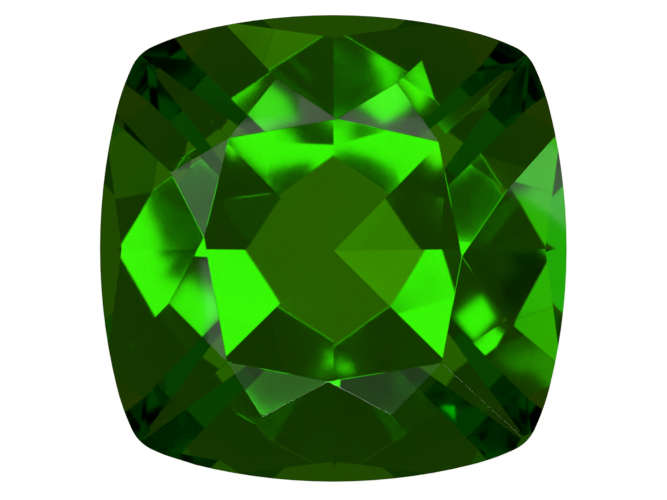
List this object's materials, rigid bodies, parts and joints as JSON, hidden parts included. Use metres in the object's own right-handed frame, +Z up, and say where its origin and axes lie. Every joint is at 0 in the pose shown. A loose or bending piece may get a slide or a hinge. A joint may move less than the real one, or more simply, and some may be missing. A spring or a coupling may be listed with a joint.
{
  "type": "faceted chrome diopside",
  "caption": "Loose cut gemstone of clear deep green diopside: a square cushion brilliant with a flat table, star and side facets and a pointed underside, lying on one facet.",
  "frame": {"origin": "the middle of the stone's box, on the surface that it lies on; the resting facet is at Z = 0", "axes": "+Z up from the surface; the stone lies on one of the eight large facets of its underside, so the table's normal leans 42.6 degrees from +Z towards -Y"},
  "size_m": [0.0076, 0.0056, 0.0052],
  "materials": {
    "diopside": "clear deep green crystal, facets polished to a glassy shine, girdle finely ground"
  },
  "bodies": {
    "root": {"diopside": "diopside"}
  },
  "joints": []
}
